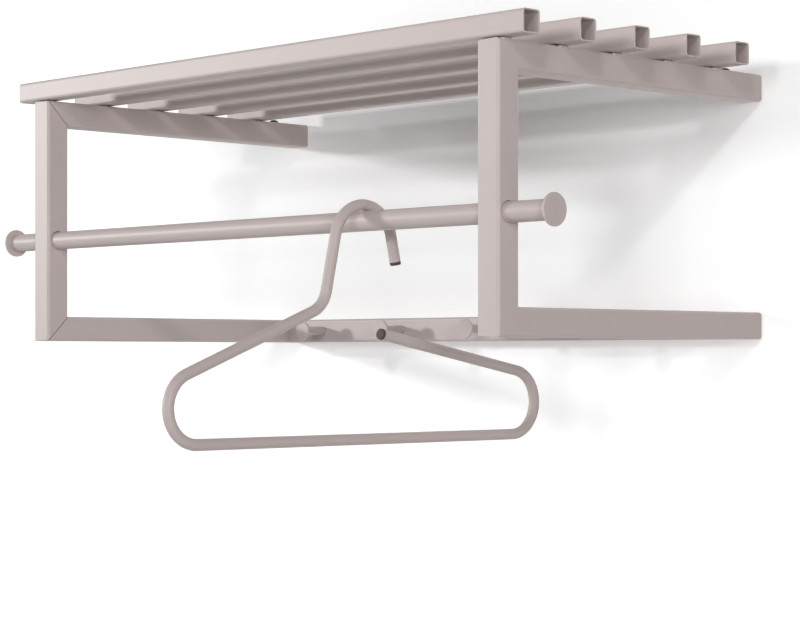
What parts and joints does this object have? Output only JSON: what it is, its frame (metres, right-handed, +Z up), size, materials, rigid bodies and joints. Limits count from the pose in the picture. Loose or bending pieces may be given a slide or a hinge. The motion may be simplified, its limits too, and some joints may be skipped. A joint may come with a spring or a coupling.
{
  "type": "wall coat rack",
  "caption": "Wall coat rack of square tubes with a slatted hat shelf, a round hanging rail in front, a bar of disc-headed pegs at the wall and a bent-tube hanger.",
  "frame": {"origin": "on the wall's plane, midway between the keyholes of the two top arms", "axes": "+X to the right along the slats and the rail, +Y into the wall, +Z up; the front faces -Y"},
  "size_m": [0.758, 0.5639, 0.3595],
  "materials": {
    "powder_coat": "fine satin powder coat",
    "zinc_plate": "zinc plate",
    "dark_plug": "matt"
  },
  "bodies": {
    "rack_frame": {"left_top_arm": "powder_coat", "left_upright": "powder_coat", "left_bottom_arm": "powder_coat", "left_top_end_cap": "powder_coat", "left_bottom_end_cap": "powder_coat", "right_top_arm": "powder_coat", "right_upright": "powder_coat", "right_bottom_arm": "powder_coat", "right_top_end_cap": "powder_coat", "right_bottom_end_cap": "powder_coat", "arm_plug_left": "dark_plug", "arm_plug_right": "dark_plug", "slat_1": "powder_coat", "slat_2": "powder_coat", "slat_3": "powder_coat", "slat_4": "powder_coat", "slat_5": "powder_coat", "slat_insert_1_left": "powder_coat", "slat_insert_1_right": "powder_coat", "slat_insert_2_left": "powder_coat", "slat_insert_2_right": "powder_coat", "slat_insert_3_left": "powder_coat", "slat_insert_3_right": "powder_coat", "slat_insert_4_left": "powder_coat", "slat_insert_4_right": "powder_coat", "slat_insert_5_left": "powder_coat", "slat_insert_5_right": "powder_coat", "slat_screw_1_left": "zinc_plate", "slat_screw_1_right": "zinc_plate", "slat_screw_2_left": "zinc_plate", "slat_screw_2_right": "zinc_plate", "slat_screw_3_left": "zinc_plate", "slat_screw_3_right": "zinc_plate", "slat_screw_4_left": "zinc_plate", "slat_screw_4_right": "zinc_plate", "slat_screw_5_left": "zinc_plate", "slat_screw_5_right": "zinc_plate", "hook_bar": "powder_coat", "peg_hook_1": "powder_coat", "peg_hook_2": "powder_coat", "peg_hook_3": "powder_coat", "peg_hook_4": "powder_coat", "peg_hook_5": "powder_coat", "hook_screw_1": "zinc_plate", "hook_screw_2": "zinc_plate", "hook_screw_3": "zinc_plate", "hook_screw_4": "zinc_plate", "hook_screw_5": "zinc_plate"},
    "rail": {"hanging_rail": "powder_coat", "rail_cap_left": "powder_coat", "rail_cap_right": "powder_coat"},
    "hanger": {"hanger": "powder_coat", "hanger_plug_tip": "dark_plug", "hanger_plug_free": "dark_plug"}
  },
  "joints": [
    {"name": "rail_turn", "type": "hinge", "parent": "rack_frame", "child": "rail", "pos_m": [0, -0.3425, -0.13], "axis": [1, 0, 0], "range_deg": [-60, 60]},
    {"name": "hanger_slide", "type": "slide", "parent": "rail", "child": "hanger", "axis": [1, 0, 0], "range_m": [-0.449, 0.142]}
  ]
}
